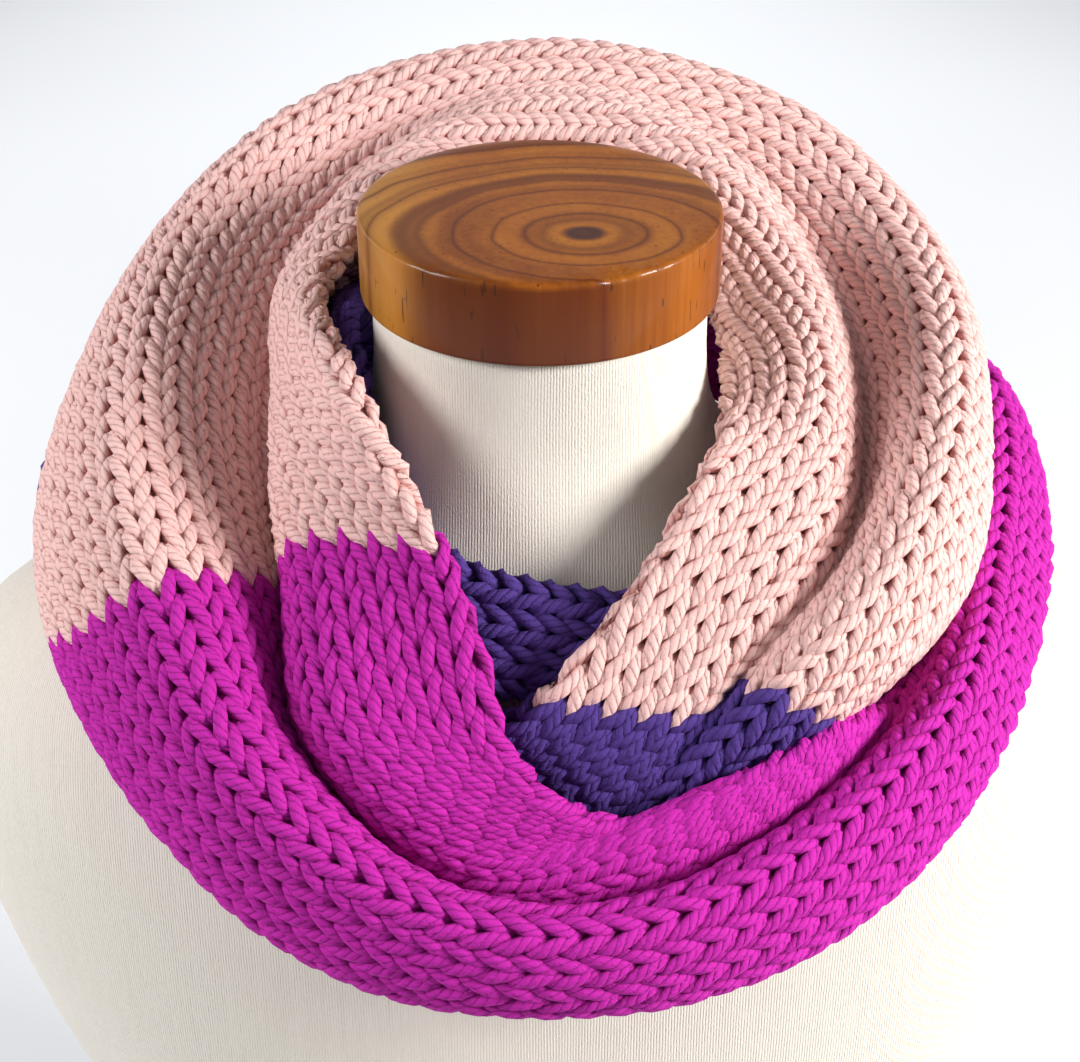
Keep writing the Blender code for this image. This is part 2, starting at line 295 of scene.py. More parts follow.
@dataclass
class TubeMap:
    """Finds points on the knitted tube by row along it and share of the way round it."""

    form: BandForm
    start: float = 10.0
    end: float = 742.0
    row_height: float = 8.8
    core: float = 1.5           # from the middle surface to the yarns' own middle
    coarse_points: int = 367    # sections cut to measure the tube's length along its middle
    middle_point: int = 28      # the point of each section's line that it is measured along
    evenings: int = 2
    steps_per_row: int = 4
    layer_points: int = 64
    fold_points: int = 7
    ring_points: int = 168
    azimuths: Array = field(init=False)
    rows: Array = field(init=False)
    ring: Array = field(init=False)
    normal: Array = field(init=False)
    girth: Array = field(init=False)
    width: Array = field(init=False)

    def __post_init__(self) -> None:
        """Lay the grid of rings out along the tube."""
        coarse = np.linspace(self.start, self.end, self.coarse_points)
        run = run_along(self.form.lines(coarse)[:, self.middle_point])
        count = int(round(run[-1] / self.row_height))
        self.rows = np.arange(0, count + NUDGE, 1.0 / self.steps_per_row)
        self.azimuths = np.interp(self.rows / count * run[-1], run, coarse)
        lines = self.form.lines(self.azimuths)
        fine = np.array([self.form.even_curve(line, self.layer_points) for line in lines])
        self.width = np.linalg.norm(np.diff(fine, axis=1), axis=2).sum(axis=1)
        along, outward = np.gradient(fine, axis=(0, 1))
        out = self.steady(unit(np.cross(along, outward)))
        angles = np.linspace(0, math.pi, self.fold_points + 2)[1:-1]
        ahead = unit(fine[:, -1] - fine[:, -2])
        behind = unit(fine[:, 0] - fine[:, 1])
        inner_fold = [fine[:, -1] + self.core * (math.cos(a) * out[:, -1] + math.sin(a) * ahead)
                      for a in angles]
        foot_fold = [fine[:, 0] + self.core * (math.sin(a) * behind - math.cos(a) * out[:, 0])
                     for a in angles]
        rings = np.concatenate([fine + self.core * out, np.stack(inner_fold, 1),
                                (fine - self.core * out)[:, ::-1], np.stack(foot_fold, 1),
                                (fine + self.core * out)[:, :1]], axis=1)
        self.girth = np.array([run_along(loop)[-1] for loop in rings])
        self.ring = np.array([respaced(loop, self.ring_points + 1) for loop in rings])
        around = np.roll(self.ring[:, :-1], -1, axis=1) - np.roll(self.ring[:, :-1], 1, axis=1)
        around = np.concatenate([around, around[:, :1]], axis=1)
        self.normal = unit(np.cross(np.gradient(self.ring, axis=0), around))

    def steady(self, out: Array) -> Array:
        """Even out the facing directions along the tube.

        Args:
            out: facing directions, sections by points by three.

        Returns:
            The same directions, smoothed between neighbouring sections.
        """
        for _ in range(self.evenings):
            out[1:-1] += EVENING * (out[:-2] - 2 * out[1:-1] + out[2:])
            out[:, 1:-1] += EVENING * (out[:, :-2] - 2 * out[:, 1:-1] + out[:, 2:])
        return unit(out)

    def row_at(self, azimuth: float) -> float:
        """The row number at an azimuth, in degrees."""
        return float(np.interp(azimuth, self.azimuths, self.rows))

    def read(self, table: Array, row: Array, share: Array) -> Array:
        """Read a grid between its points.

        Args:
            table: the grid of rings.
            row: row numbers along the tube.
            share: shares of the way round, 0 at the outer foot.

        Returns:
            The values there.
        """
        y = np.clip(row * self.steps_per_row, 0, len(table) - 1.001)
        x = (share % 1.0) * self.ring_points
        i, j = y.astype(int), np.minimum(x.astype(int), self.ring_points - 1)
        fy, fx = (y - i)[..., None], (x - j)[..., None]
        low = table[i, j] * (1 - fx) + table[i, j + 1] * fx
        high = table[i + 1, j] * (1 - fx) + table[i + 1, j + 1] * fx
        return low * (1 - fy) + high * fy

    def place(self, row: Array, share: Array, lift: Array) -> Array:
        """Points on the tube, lifted off its yarns' middle surface.

        Args:
            row: row numbers along the tube.
            share: shares of the way round it.
            lift: how far out from the surface, in millimetres.

        Returns:
            Points in metres, in the part's frame.
        """
        point = self.read(self.ring, row, share)
        point += self.read(self.normal, row, share) * lift[..., None]
        point[..., 2] += FORM_HEIGHT
        return point * MM


def link(name: str, data: bpy.types.ID) -> bpy.types.Object:
    """Put new object data in the scene.

    Args:
        name: the object's name.
        data: its mesh, light or camera.

    Returns:
        The new object.
    """
    thing = bpy.data.objects.new(name, data)
    bpy.context.scene.collection.objects.link(thing)
    return thing


def finished_mesh(name: str, bm: bmesh.types.BMesh) -> bpy.types.Mesh:
    """Turn an edited mesh into a named one.

    Args:
        name: the mesh's name.
        bm: the edited mesh. It is freed.

    Returns:
        The mesh.
    """
    mesh = bpy.data.meshes.new(name)
    bm.to_mesh(mesh)
    bm.free()
    return mesh


def new_object(name: str, mesh: bpy.types.Mesh, material: bpy.types.Material) -> bpy.types.Object:
    """Put a finished mesh in the scene as one piece on the part's only body.

    Args:
        name: the piece's name.
        mesh: its mesh, already in place.
        material: its material.

    Returns:
        The new object.
    """
    piece = link(name, mesh)
    mesh.materials.clear()
    mesh.materials.append(material)
    for polygon in mesh.polygons:
        polygon.use_smooth = True
    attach(piece, "root")
    LOG.info("%s: %d faces", name, len(mesh.polygons))
    return piece


def bend_and_weld(bm: bmesh.types.BMesh, name: str, places: Array,
                  uvs: Array) -> bpy.types.Mesh:
    """Move an operator's flat grids to their places, then close their seams and poles.

    Args:
        bm: the mesh of grids. It is freed.
        name: the finished mesh's name.
        places: a place for each vertex, in metres.
        uvs: a UV for each vertex.

    Returns:
        The closed mesh.
    """
    flat = finished_mesh(name, bm)
    flat.vertices.foreach_set("co", places.ravel())
    corner = np.zeros(len(flat.loops), np.int32)
    flat.loops.foreach_get("vertex_index", corner)
    flat.uv_layers.new(name="run").data.foreach_set("uv", uvs[corner].ravel())
    welded = bmesh.new()
    welded.from_mesh(flat)
    bmesh.ops.remove_doubles(welded, verts=welded.verts, dist=WELD * MM)
    welded.to_mesh(flat)
    welded.free()
    flat.update()
    return flat


def grid_mesh(name: str, points: Array, uvs: Array) -> bpy.types.Mesh:
    """A closed tube from an operator's grid, bent to the given points and welded.

    Args:
        name: the mesh's name.
        points: rows by columns by three, in metres, with the last column on the first.
        uvs: rows by columns by two.

    Returns:
        The mesh.
    """
    tall, wide = points.shape[:2]
    bm = bmesh.new()
    bmesh.ops.create_grid(bm, x_segments=wide - 1, y_segments=tall - 1, size=1.0)
    return bend_and_weld(bm, name, points.reshape(-1, 3), uvs.reshape(-1, 2))


class NodeSheet:
    """Short calls for laying out a material's nodes."""

    def __init__(self, name: str) -> None:
        """Start a material with its own shader.

        Args:
            name: the material's name.
        """
        self.material = bpy.data.materials.new(name)
        self.material.use_nodes = True
        self.tree = self.material.node_tree
        self.shader = self.tree.nodes["Principled BSDF"]

    def add(self, kind: str, feeds: dict | None = None, **settings: object) -> bpy.types.Node:
        """Add a node.

        Args:
            kind: the node's type.
            feeds: a value or a socket for each of its inputs, by name or number.
            settings: its properties.

        Returns:
            The node.
        """
        node = self.tree.nodes.new(kind)
        for key, value in settings.items():
            setattr(node, key, value)
        for key, value in (feeds or {}).items():
            self.feed(node.inputs[key], value)
        return node

    def feed(self, socket: Socket, value: object) -> None:
        """Link a socket to another one, or set its value.

        Args:
            socket: the input.
            value: an output to link it to, or its value.
        """
        if isinstance(value, Socket):
            self.tree.links.new(value, socket)
        else:
            socket.default_value = value

    def math(self, operation: str, *values: object) -> Socket:
        """The result of a Math node, given its numbers or sockets in order."""
        return self.add("ShaderNodeMath", dict(enumerate(values)), operation=operation).outputs[0]

    def times(self, value: Socket, factor: object) -> Socket:
        """A value multiplied by a number or another value."""
        return self.math("MULTIPLY", value, factor)

    def blend(self, *parts: tuple) -> Socket:
        """The weighted sum of some outputs.

        Args:
            parts: pairs of an output and its weight.

        Returns:
            The sum.
        """
        scaled = [self.times(value, weight) for value, weight in parts]
        total = scaled.pop()
        while scaled:
            total = self.math("ADD", scaled.pop(), total)
        return total

    def capped(self, value: Socket, most: float = 1.0) -> Socket:
        """A value held between 0 and a limit."""
        return self.math("MINIMUM", most, self.math("MAXIMUM", 0.0, value))

    def noise(self, vector: Socket, scale: float, detail: float = 3.0,
              rough: float = 0.55) -> Socket:
        """Soft noise read at a vector, from 0 to 1."""
        return self.add("ShaderNodeTexNoise", {"Vector": vector, "Scale": scale, "Detail": detail,
                                               "Roughness": rough}).outputs["Fac"]

    def ramp(self, fac: Socket, *stops: tuple) -> Socket:
        """A colour read off a ramp.

        Args:
            fac: where to read it.
            stops: pairs of a position and a linear colour.

        Returns:
            The colour output.
        """
        node = self.add("ShaderNodeValToRGB", {"Fac": fac})
        bar = node.color_ramp.elements
        for i, (position, colour) in enumerate(stops):
            stop = bar[i] if i < 2 else bar.new(position)
            stop.position = position
            stop.color = (*colour, 1.0)
        return node.outputs["Color"]

    def stain(self, colour: Socket, shade: tuple, amount: Socket, share: object = 1.0) -> Socket:
        """A colour taken towards another by an amount times a share."""
        feeds = {"Factor": self.times(amount, share), 6: colour, 7: (*shade, 1.0)}
        return self.add("ShaderNodeMix", feeds, data_type="RGBA").outputs[2]

    def stretch(self, vector: Socket, scale: tuple, move: tuple = (0.0, 0.0, 0.0)) -> Socket:
        """A vector moved and scaled by a Mapping node."""
        feeds = {"Vector": vector, "Location": move, "Scale": scale}
        return self.add("ShaderNodeMapping", feeds).outputs["Vector"]

    def bump(self, height: Socket, distance: float, strength: float = 1.0,
             under: Socket | None = None) -> Socket:
        """A bumped normal.

        Args:
            height: the relief.
            distance: its depth, in metres.
            strength: how strongly it shows, from 0 to 1.
            under: a bumped normal that it lies on, if any.

        Returns:
            The normal.
        """
        feeds = {"Strength": strength, "Distance": distance, "Height": height}
        if under is not None:
            feeds["Normal"] = under
        return self.add("ShaderNodeBump", feeds).outputs["Normal"]

    def finish(self, colour: Socket, relief: Socket | None,
               constants: dict[str, object]) -> bpy.types.Material:
        """Complete the shader.

        Args:
            colour: its base colour.
            relief: its bumped normal, if it has one.
            constants: the values of its other sockets, by name.

        Returns:
            The material.
        """
        feeds = {"Base Color": colour, **constants}
        if relief is not None:
            feeds["Normal"] = relief
        for name, value in feeds.items():
            self.feed(self.shader.inputs[name], value)
        return self.material

    def uv_parts(self) -> tuple[Socket, Socket, Socket]:
        """Read the piece's own UV map.

        Returns:
            The UV vector and its two parts.
        """
        uv = self.add("ShaderNodeUVMap").outputs["UV"]
        parts = self.add("ShaderNodeSeparateXYZ", {0: uv}).outputs
        return uv, parts[0], parts[1]

    def place(self) -> Socket:
        """Object coordinates, which are the part's own metres."""
        return self.add("ShaderNodeTexCoord").outputs["Object"]


@dataclass(frozen=True)
class YarnFinish:
    """Soft plied yarn: twisted strands, short fibres and a light nap, with painted shade on its
    sides and in the grooves between its strands.
    """

    name: str
    light: Colour
    # The deep tone is the colour of the painted shade, and of the yarn's darker patches.
    deep: Colour
    sheen: float
    strands: int = 4
    strand_edge: float = 0.4    # below 1, so strands are broad and the grooves between narrow
    strand_height: float = 0.0005
    fibre_height: float = 0.0004
    fibre_stretch: tuple[float, float, float] = (2.2, 26.0, 1.0)

    def build(self) -> bpy.types.Material:
        """Make the yarn's material.

        Returns:
            The material. U counts strands' crossings along the yarn, V is the turn round it.
        """
        sheet = NodeSheet(self.name)
        uv, along, around = sheet.uv_parts()
        twist = sheet.math("ADD", along, sheet.times(around, float(self.strands)))
        wave = sheet.math("ABSOLUTE", sheet.math("SINE", sheet.times(twist, math.pi)))
        strand = sheet.math("POWER", wave, self.strand_edge)
        # Painted shade: the yarn darkens on its sides and underside, where it turns away from the
        # fabric's face.
        turned = sheet.times(sheet.math("SUBTRACT", around, 0.5), 2 * math.pi)
        turned = sheet.math("COSINE", turned)
        painted_side_shade = sheet.ramp(turned, (0.0, (0.0, 0.0, 0.0)), (0.75, (1.0, 1.0, 1.0)))
        place = sheet.place()
        fibre = sheet.noise(sheet.stretch(uv, self.fibre_stretch), 1.0, 2.0, 0.6)
        fluff = sheet.noise(place, 1100.0, 2.0)
        patch = sheet.noise(place, 55.0, 2.0)
        # The grooves between strands and the turned-away sides are painted shade; the fibres add
        # streaks of the yarn's own tone.
        shade = sheet.blend((strand, 0.22), (fibre, 0.34), (painted_side_shade, 0.44))
        colour = sheet.ramp(shade, (0.22, self.deep), (0.80, self.light))
        colour = sheet.stain(colour, self.deep, patch, 0.2)
        relief = sheet.bump(strand, self.strand_height)
        relief = sheet.bump(fibre, self.fibre_height, 0.8, relief)
        relief = sheet.bump(fluff, self.fibre_height, 0.6, relief)
        return sheet.finish(colour, relief,
                            {"Roughness": 0.82, "Specular IOR Level": 0.25,
                             "Sheen Weight": self.sheen, "Sheen Roughness": 0.5,
                             "Sheen Tint": (*self.light, 1.0)})


@dataclass(frozen=True)
class LiningFinish:
    """The yarn that shows deep between the loops, darkened as painted shade."""

    name: str
    colour: Colour
    shadow: float = 0.45        # the dark parts' share of the colour

    def build(self) -> bpy.types.Material:
        """Make the material of the tube wall behind the loops.

        Returns:
            The material.
        """
        sheet = NodeSheet(self.name)
        fluff = sheet.noise(sheet.place(), 420.0, 3.0)
        # Painted shade: the whole wall is darker than its yarn, and the fluff gives it darker
        # patches.
        dark = tuple(c * self.shadow for c in self.colour)
        colour = sheet.ramp(fluff, (0.35, dark), (0.7, self.colour))
        return sheet.finish(colour, sheet.bump(fluff, 0.001),
                            {"Roughness": 1.0, "Specular IOR Level": 0.1})


@dataclass(frozen=True)
class JerseyFinish:
    """Natural jersey with fine upright ribs and small flecks."""

    name: str = "natural_jersey"
    rib: float = 0.95           # millimetres from rib to rib
    wander: float = 1.6         # ribs that a rib strays sideways
    cream: Colour = (0.82, 0.765, 0.68)
    sand: Colour = (0.63, 0.56, 0.47)
    dusk: Colour = (0.72, 0.66, 0.57)
    fleck: Colour = (0.45, 0.38, 0.30)
    fleck_from: float = 0.735   # noise above this is a fleck

    def build(self) -> bpy.types.Material:
        """Make the form's cover.

        Returns:
            The material. U is millimetres round the form, V millimetres up it.
        """
        sheet = NodeSheet(self.name)
        uv, around, _ = sheet.uv_parts()
        wander = sheet.noise(sheet.stretch(uv, (0.05, 0.012, 1.0)), 1.0, 2.0)
        count = sheet.math("ADD", sheet.math("DIVIDE", around, self.rib),
                           sheet.times(wander, self.wander))
        rib = sheet.math("ABSOLUTE", sheet.math("SINE", sheet.times(count, math.pi)))
        loops = sheet.noise(sheet.stretch(uv, (1.6, 0.9, 1.0)), 1.0, 3.0)
        streak = sheet.noise(sheet.stretch(uv, (0.5, 0.015, 1.0)), 1.0, 3.0)
        cloud = sheet.noise(sheet.place(), 22.0, 3.0)
        slub = sheet.noise(sheet.stretch(uv, (0.9, 0.4, 1.0)), 1.0, 2.0)
        fleck = sheet.math("GREATER_THAN", slub, self.fleck_from)
        tone = sheet.blend((rib, 0.3), (loops, 0.35), (streak, 0.45))
        colour = sheet.ramp(tone, (0.0, self.sand), (0.62, self.cream))
        colour = sheet.stain(colour, self.dusk, cloud, 0.25)
        colour = sheet.stain(colour, self.fleck, fleck, 0.35)
        relief = sheet.bump(rib, 0.0002, 0.6)
        relief = sheet.bump(loops, 0.0004, 0.7, relief)
        return sheet.finish(colour, relief, {"Roughness": 0.93, "Specular IOR Level": 0.2,
                                             "Sheen Weight": 0.2})


@dataclass(frozen=True)
class WoodFinish:
    """A varnished slice of trunk, with its rings round a knot off the middle."""

    name: str = "varnished_wood"
    knot: tuple[float, float] = (0.0135, -0.021)
    oval: float = 0.80          # how much closer the rings lie front to back than across
    half_rings: float = 200.0   # in a metre
    uneven_rings: float = 3.4   # half rings that noise moves a ring by, at most
    ring_warp: float = 0.007
    ring_edge: float = 2.6      # above 1, so rings are narrow
    heart_scale: float = 160.0  # one over the knot's radius in metres
    tick_from: float = 0.705    # noise above this is a dark tick
    golden: Colour = (0.52, 0.19, 0.016)
    brown: Colour = (0.36, 0.105, 0.008)
    umber: Colour = (0.17, 0.036, 0.003)
    ring_tone: Colour = (0.105, 0.018, 0.002)
    tick_tone: Colour = (0.06, 0.016, 0.004)
    heart_tone: Colour = (0.050, 0.014, 0.012)
    # A painted highlight on the -X end of the block, and painted shade in the middle of its side.
    painted_highlight_tone: Colour = (0.56, 0.27, 0.05)
    painted_shade_tone: Colour = (0.115, 0.022, 0.004)
    fade: float = 26.0          # how fast a tone changes across the block, for each metre
    highlight_from: float = 0.75
    shade_until: float = 1.15
    shade_most: float = 0.85
    rim: float = 0.001          # height of the rim, where the side's deep tone ends
    rim_fade: float = 600.0     # how fast it starts below the rim, for each metre

    def build(self) -> bpy.types.Material:
        """Make the cap's material.

        Returns:
            The material. Rings stand upright through the block, so its side shows their grain.
        """
        sheet = NodeSheet(self.name)
        place = sheet.place()
        moved = sheet.stretch(place, (self.oval, 1.0, 0.0),
                              (-self.knot[0] * self.oval, -self.knot[1], 0.0))
        warp = sheet.noise(sheet.stretch(place, (1.0, 1.0, 0.12)), 26.0, 2.0)
        length = sheet.add("ShaderNodeVectorMath", {0: moved}, operation="LENGTH").outputs["Value"]
        reach = sheet.math("ADD", length, sheet.times(warp, self.ring_warp))
        outward = sheet.add("ShaderNodeCombineXYZ", {0: reach}).outputs[0]
        years = sheet.noise(outward, 130.0, 1.0)
        bands = sheet.noise(outward, 45.0, 2.0)
        count = sheet.blend((reach, self.half_rings), (years, self.uneven_rings))
        line = sheet.math("POWER", sheet.math("PINGPONG", count, 1.0), self.ring_edge)
        line = sheet.times(line, sheet.math("ADD", bands, 0.2))
        broad = sheet.noise(sheet.stretch(place, (1.0, 1.0, 0.1)), 30.0, 3.0)
        fine = sheet.noise(sheet.stretch(place, (9.0, 9.0, 0.35)), 60.0, 3.0)
        tone = sheet.blend((bands, 0.55), (broad, 0.30), (fine, 0.22))
        colour = sheet.ramp(tone, (0.36, self.golden), (0.72, self.umber), (0.54, self.brown))
        colour = self.paint_side_light(sheet, place, colour)
        colour = sheet.stain(colour, self.ring_tone, line, 1.25)
        grain = sheet.noise(sheet.stretch(place, (650.0, 650.0, 100.0)), 1.0, 1.0)
        tick = sheet.math("GREATER_THAN", grain, self.tick_from)
        colour = sheet.stain(colour, self.tick_tone, tick, 0.75)
        heart = sheet.capped(sheet.times(length, self.heart_scale))
        heart = sheet.capped(sheet.times(sheet.math("SUBTRACT", 1.0, heart), 2.5))
        colour = sheet.stain(colour, self.heart_tone, heart, 0.9)
        return sheet.finish(colour, sheet.bump(tone, 0.0002, 0.5),
                            {"Roughness": 0.38, "Specular IOR Level": 0.2,
                             "Coat Weight": 0.25, "Coat Roughness": 0.1})

    def paint_side_light(self, sheet: NodeSheet, place: Socket, colour: Socket) -> Socket:
        """Paint a highlight on the wood towards one end, and painted shade, deep brown, in the
        middle of the side.

        Args:
            sheet: the material's nodes.
            place: the part's own coordinates.
            colour: the wood's colour so far.

        Returns:
            The shaded colour.
        """
        axes = sheet.add("ShaderNodeSeparateXYZ", {0: place}).outputs
        across, height = axes[0], axes[2]
        # Painted highlight towards the -X end, on the top and on the side.
        pale = sheet.times(across, -self.fade)
        pale = sheet.math("MAXIMUM", 0.0, sheet.math("SUBTRACT", pale, self.highlight_from))
        colour = sheet.stain(colour, self.painted_highlight_tone, pale)
        # Painted shade, deep brown, in the middle of the side below the rim, at the front and the
        # back.
        below = sheet.math("SUBTRACT", FORM_HEIGHT * MM - self.rim, height)
        below = sheet.capped(sheet.times(below, self.rim_fade))
        deep = sheet.times(sheet.math("ABSOLUTE", across), self.fade)
        deep = sheet.capped(sheet.math("SUBTRACT", self.shade_until, deep), self.shade_most)
        return sheet.stain(colour, self.painted_shade_tone, deep, below)


@dataclass(frozen=True)
class FloorFinish:
    """Plain pale board."""

    name: str = "pale_floor"
    dull: Colour = (0.80, 0.81, 0.83)
    bright: Colour = (0.84, 0.85, 0.87)

    def build(self) -> bpy.types.Material:
        """Make the floor's material.

        Returns:
            The material.
        """
        sheet = NodeSheet(self.name)
        cloud = sheet.noise(sheet.place(), 1.2, 1.0)
        colour = sheet.ramp(cloud, (0.3, self.dull), (0.7, self.bright))
        return sheet.finish(colour, None, {"Roughness": 0.9})


@dataclass
class YarnGauge:
    """The knitter's gauge and the shape of one loop."""

    wale: float = 10.4          # millimetres from wale to wale
    leg_radius: float = 2.45
    head_radius: float = 1.7    # where the yarn passes behind its neighbours
    swing: float = 0.27         # how far a leg leans, in wales
    reach: float = 1.04         # how far a loop reaches into its neighbours, in rows
    depth: float = 2.0          # how far its head lies behind its legs, in millimetres
    slew_until: float = 0.46    # how far from its middle a loop keeps square, in wales
    most_slew: float = 1.1      # rows a wale at most
    strand_step: float = 3.2    # millimetres along the yarn from strand to strand
    strand_shift: float = 0.37  # strands that each yarn starts ahead of the one before
    snap: float = 1.5           # how sharply the yarn passes from front to back
    uneven_lean: float = 0.025  # in wales
    uneven_slide: float = 0.05  # in rows
    uneven_rise: float = 0.25   # in millimetres
    tip_share: float = 0.7      # of its radius, next to a yarn's pointed end
    past_fold: float = 6.0      # how far the finely drawn yarn runs past a fold
    overlap: float = 3.0        # how far the two lengths of a row's yarn run together
    seed: int = 11
    seed_step: int = 7919


@dataclass
class KnitStretch:
    """One stretch of the scarf that shows: the tube's wall and the rows of yarn on it."""

    name: str
    tube: TubeMap
    gauge: YarnGauge
    start: float
    end: float
    yarn: bpy.types.Material
    # The wall's material, darkened as painted shade between the loops.
    shaded_lining: bpy.types.Material
    slot: str
    flat: tuple[float, float]
    rests_on: tuple[str, ...]
    parts: int = 2
    wall_margin: float = 0.45   # rows kept clear at each end
    wall_points: int = 85
    wall_drop: float = 0.6      # millimetres below the yarns' middle
    wall_thickness: float = 0.8
    crest_at: Array = field(init=False)
    first_row: int = field(init=False)
    next_row: int = field(init=False)

    def __post_init__(self) -> None:
        """Find the stretch's rows, and where wales are counted from all along the tube."""
        form, tube = self.tube.form, self.tube
        found = []
        for azimuth, *values in TUBE_SECTIONS:
            row = np.array(values, float)
            line = form.even_curve(form.section_line(azimuth, row), form.fine_points)
            crest = form.section_points(azimuth, row)[2]
            near = int(np.argmin(np.linalg.norm(line - crest, axis=1)))
            length = np.linalg.norm(np.diff(line, axis=0), axis=1).sum()
            found.append((azimuth, length * near / (form.fine_points - 1)))
        crest = smooth_columns(tuple(found), tube.azimuths)[:, 0]
        last = int(np.searchsorted(tube.azimuths, INNER_EDGE_FROM))
        keep = tube.width[last] - crest[last]
        crest[last:] = tube.width[last:] - keep
        self.crest_at = crest
        self.first_row = int(round(tube.row_at(self.start)))
        self.next_row = int(round(tube.row_at(self.end)))

    def build_wall(self) -> bpy.types.Object:
        """The knitted tube's thin wall, all round, under the loops.

        Returns:
            The wall, which takes its thickness from a modifier.
        """
        tube = self.tube
        rows = np.arange(self.first_row + self.wall_margin,
                         self.next_row - self.wall_margin + NUDGE, 0.5)
        share = np.linspace(0.0, 1.0, self.wall_points)
        grid_row, grid_share = np.meshgrid(rows, share, indexing="ij")
        points = tube.place(grid_row, grid_share, np.full(grid_row.shape, -self.wall_drop))
        points[:, -1] = points[:, 0]
        v, u = np.indices(grid_row.shape, dtype=float)
        mesh = grid_mesh(self.name + "_wall", points, np.stack([u, v], 2))
        piece = new_object(self.name + "_wall", mesh, self.shaded_lining)
        shell = piece.modifiers.new("wall", "SOLIDIFY")
        shell.thickness = self.wall_thickness * MM
        shell.offset = -1.0
        return piece

    def yarn_line(self, row: int, begin: float, finish: float,
                  detail: Detail) -> tuple[Array, Array, Array]:
        """The middle line of one row's yarn between two places round the tube.

        Args:
            row: the row's number.
            begin: first place, in millimetres round from the outer foot.
            finish: last place.
            detail: how finely to draw it.

        Returns:
            Its points, the fabric's facing direction at each, and how far each is on a leg,
            from 0 at a head to 1 halfway down a leg.
        """
        tube, gauge = self.tube, self.gauge
        centre = row + 0.5
        anchor = float(np.interp(centre, tube.rows, self.crest_at))
        first, last = (begin - anchor) / gauge.wale, (finish - anchor) / gauge.wale
        count = int(math.ceil((last - first) * detail.pieces)) + 1
        turn = np.linspace(first, last, count) * 2 * math.pi
        dice = np.random.RandomState(gauge.seed * gauge.seed_step + row)
        legs = np.arange(math.floor(first * 2) - 1, math.ceil(last * 2) + 2)
        uneven = dice.uniform(-1.0, 1.0, (3, len(legs)))
        spot = turn / math.pi - 0.5
        lean, slide, rise = (np.interp(spot, legs, u) for u in uneven)
        wales = turn / (2 * math.pi)
        across = wales + gauge.swing * np.sin(2 * turn) + gauge.uneven_lean * lean
        off = across - np.round(wales)
        most = gauge.slew_until
        square = np.where(np.abs(off) < most, off,
                          np.sign(off) * (0.5 - np.abs(off)) * most / (0.5 - most))
        level = np.full_like(wales, centre)
        rows = (centre - gauge.reach * np.cos(turn) + gauge.uneven_slide * slide
                - square * self.slew(level, np.round(wales)))
        rows = np.clip(rows, tube.rows[0], tube.rows[-1])
        share = self.share_at(rows, across)
        lift = -gauge.depth * np.tanh(gauge.snap * np.cos(2 * turn)) + gauge.uneven_rise * rise
        points = tube.place(rows, share, lift)
        return points, tube.read(tube.normal, rows, share), 0.5 - 0.5 * np.cos(2 * turn)

    def share_at(self, rows: Array, across: Array) -> Array:
        """The shares round the tube of places counted in wales from the crest.

        Args:
            rows: row numbers.
            across: wales from the crest.

        Returns:
            The shares, 0 at the outer foot.
        """
        anchors = np.interp(rows, self.tube.rows, self.crest_at)
        return (anchors + self.gauge.wale * across) / np.interp(rows, self.tube.rows,
                                                                self.tube.girth)

    def middle(self, rows: Array, wales: Array) -> Array:
        """Places on the yarns' middle surface, by row and by wales from the crest."""
        return self.tube.place(rows, self.share_at(rows, wales), np.zeros_like(rows))

    def slew(self, rows: Array, wales: Array) -> Array:
        """How far the rows run ahead from one wale to the next where the tube is skewed.

        Args:
            rows: row numbers.
            wales: wales from the crest.

        Returns:
            Rows a wale, to draw each loop square to its own wale.
        """
        ahead = (self.middle(rows + 1.0, wales) - self.middle(rows - 1.0, wales)) / 2.0
        side = self.middle(rows, wales + 0.5) - self.middle(rows, wales - 0.5)
        most = self.gauge.most_slew
        return np.clip((ahead * side).sum(1) / (ahead * ahead).sum(1), -most, most)

    def add_yarn(self, bm: bmesh.types.BMesh, points: Array, facing: Array,
                 on_leg: Array, detail: Detail, store: list) -> None:
        """Add one yarn's tube to a mesh, to be bent into place afterwards.

        Args:
            bm: the mesh being built.
            points: the yarn's middle line, in metres.
            facing: the fabric's facing direction at each point.
            on_leg: how far each point is on a leg, from 0 to 1.
            detail: how many sides it has.
            store: collects each yarn's vertex places and UVs.
        """
        sides = detail.sides
        ahead = unit(np.gradient(points, axis=0))
        outward = unit(facing - (facing * ahead).sum(1, keepdims=True) * ahead)
        side = np.cross(ahead, outward)
        angle = np.linspace(-math.pi, math.pi, sides + 1)
        gauge = self.gauge
        size = (gauge.head_radius + (gauge.leg_radius - gauge.head_radius) * on_leg) * MM
        size[[0, -1]] = 0.0
        size[[1, -2]] *= gauge.tip_share
        ring = (np.cos(angle)[None, :, None] * outward[:, None]
                + np.sin(angle)[None, :, None] * side[:, None])
        skin = points[:, None] + size[:, None, None] * ring
        strands = run_along(points) / (gauge.strand_step * MM)
        u = np.repeat(strands[:, None], sides + 1, axis=1)
        v = np.repeat(((angle + math.pi) / (2 * math.pi))[None], len(points), axis=0)
        bmesh.ops.create_grid(bm, x_segments=sides, y_segments=len(points) - 1, size=1.0)
        u += len(store) * gauge.strand_shift
        store.append((skin.reshape(-1, 3), np.stack([u, v], 2).reshape(-1, 2)))

